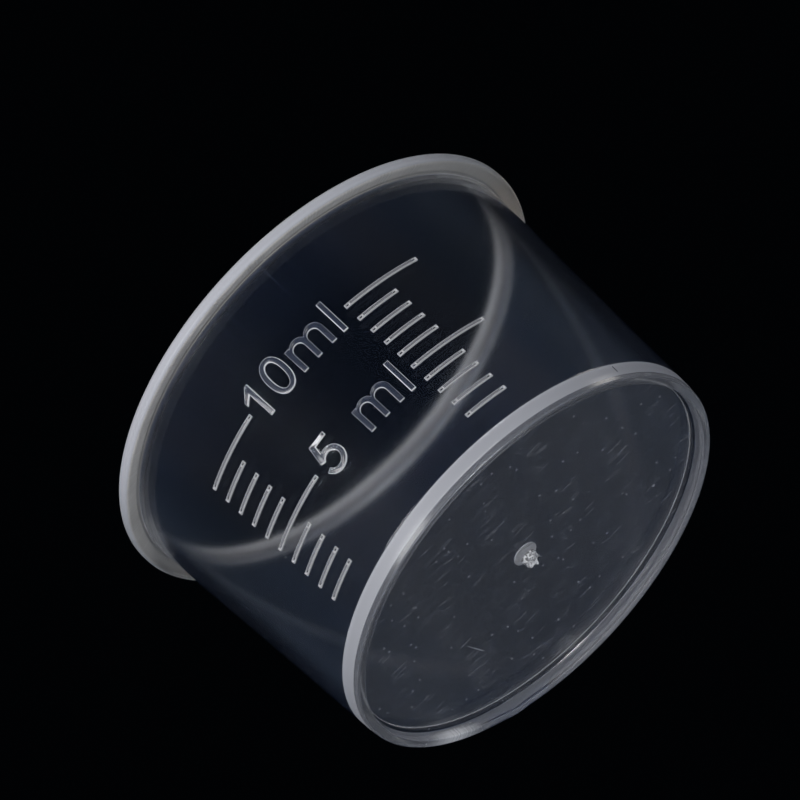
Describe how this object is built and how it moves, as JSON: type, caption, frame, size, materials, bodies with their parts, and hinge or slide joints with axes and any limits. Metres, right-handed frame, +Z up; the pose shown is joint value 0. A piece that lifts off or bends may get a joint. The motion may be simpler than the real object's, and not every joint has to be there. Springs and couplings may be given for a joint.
{
  "type": "measuring cup",
  "caption": "Small clear plastic measuring cup with a tapered wall, a flat lip, a recessed floor on a thin foot ring and a raised millilitre scale.",
  "frame": {"origin": "centre of the foot ring's bottom plane", "axes": "+Z up along the cup's axis, out of the mouth; the scale faces -Y, with its digits upright and reading towards +X"},
  "size_m": [0.0362, 0.0362, 0.0227],
  "materials": {
    "clear_plastic": "clear, slightly hazy polypropylene with moulding marks and fine scratches"
  },
  "bodies": {
    "root": {"measuring_cup": "clear_plastic"}
  },
  "joints": []
}
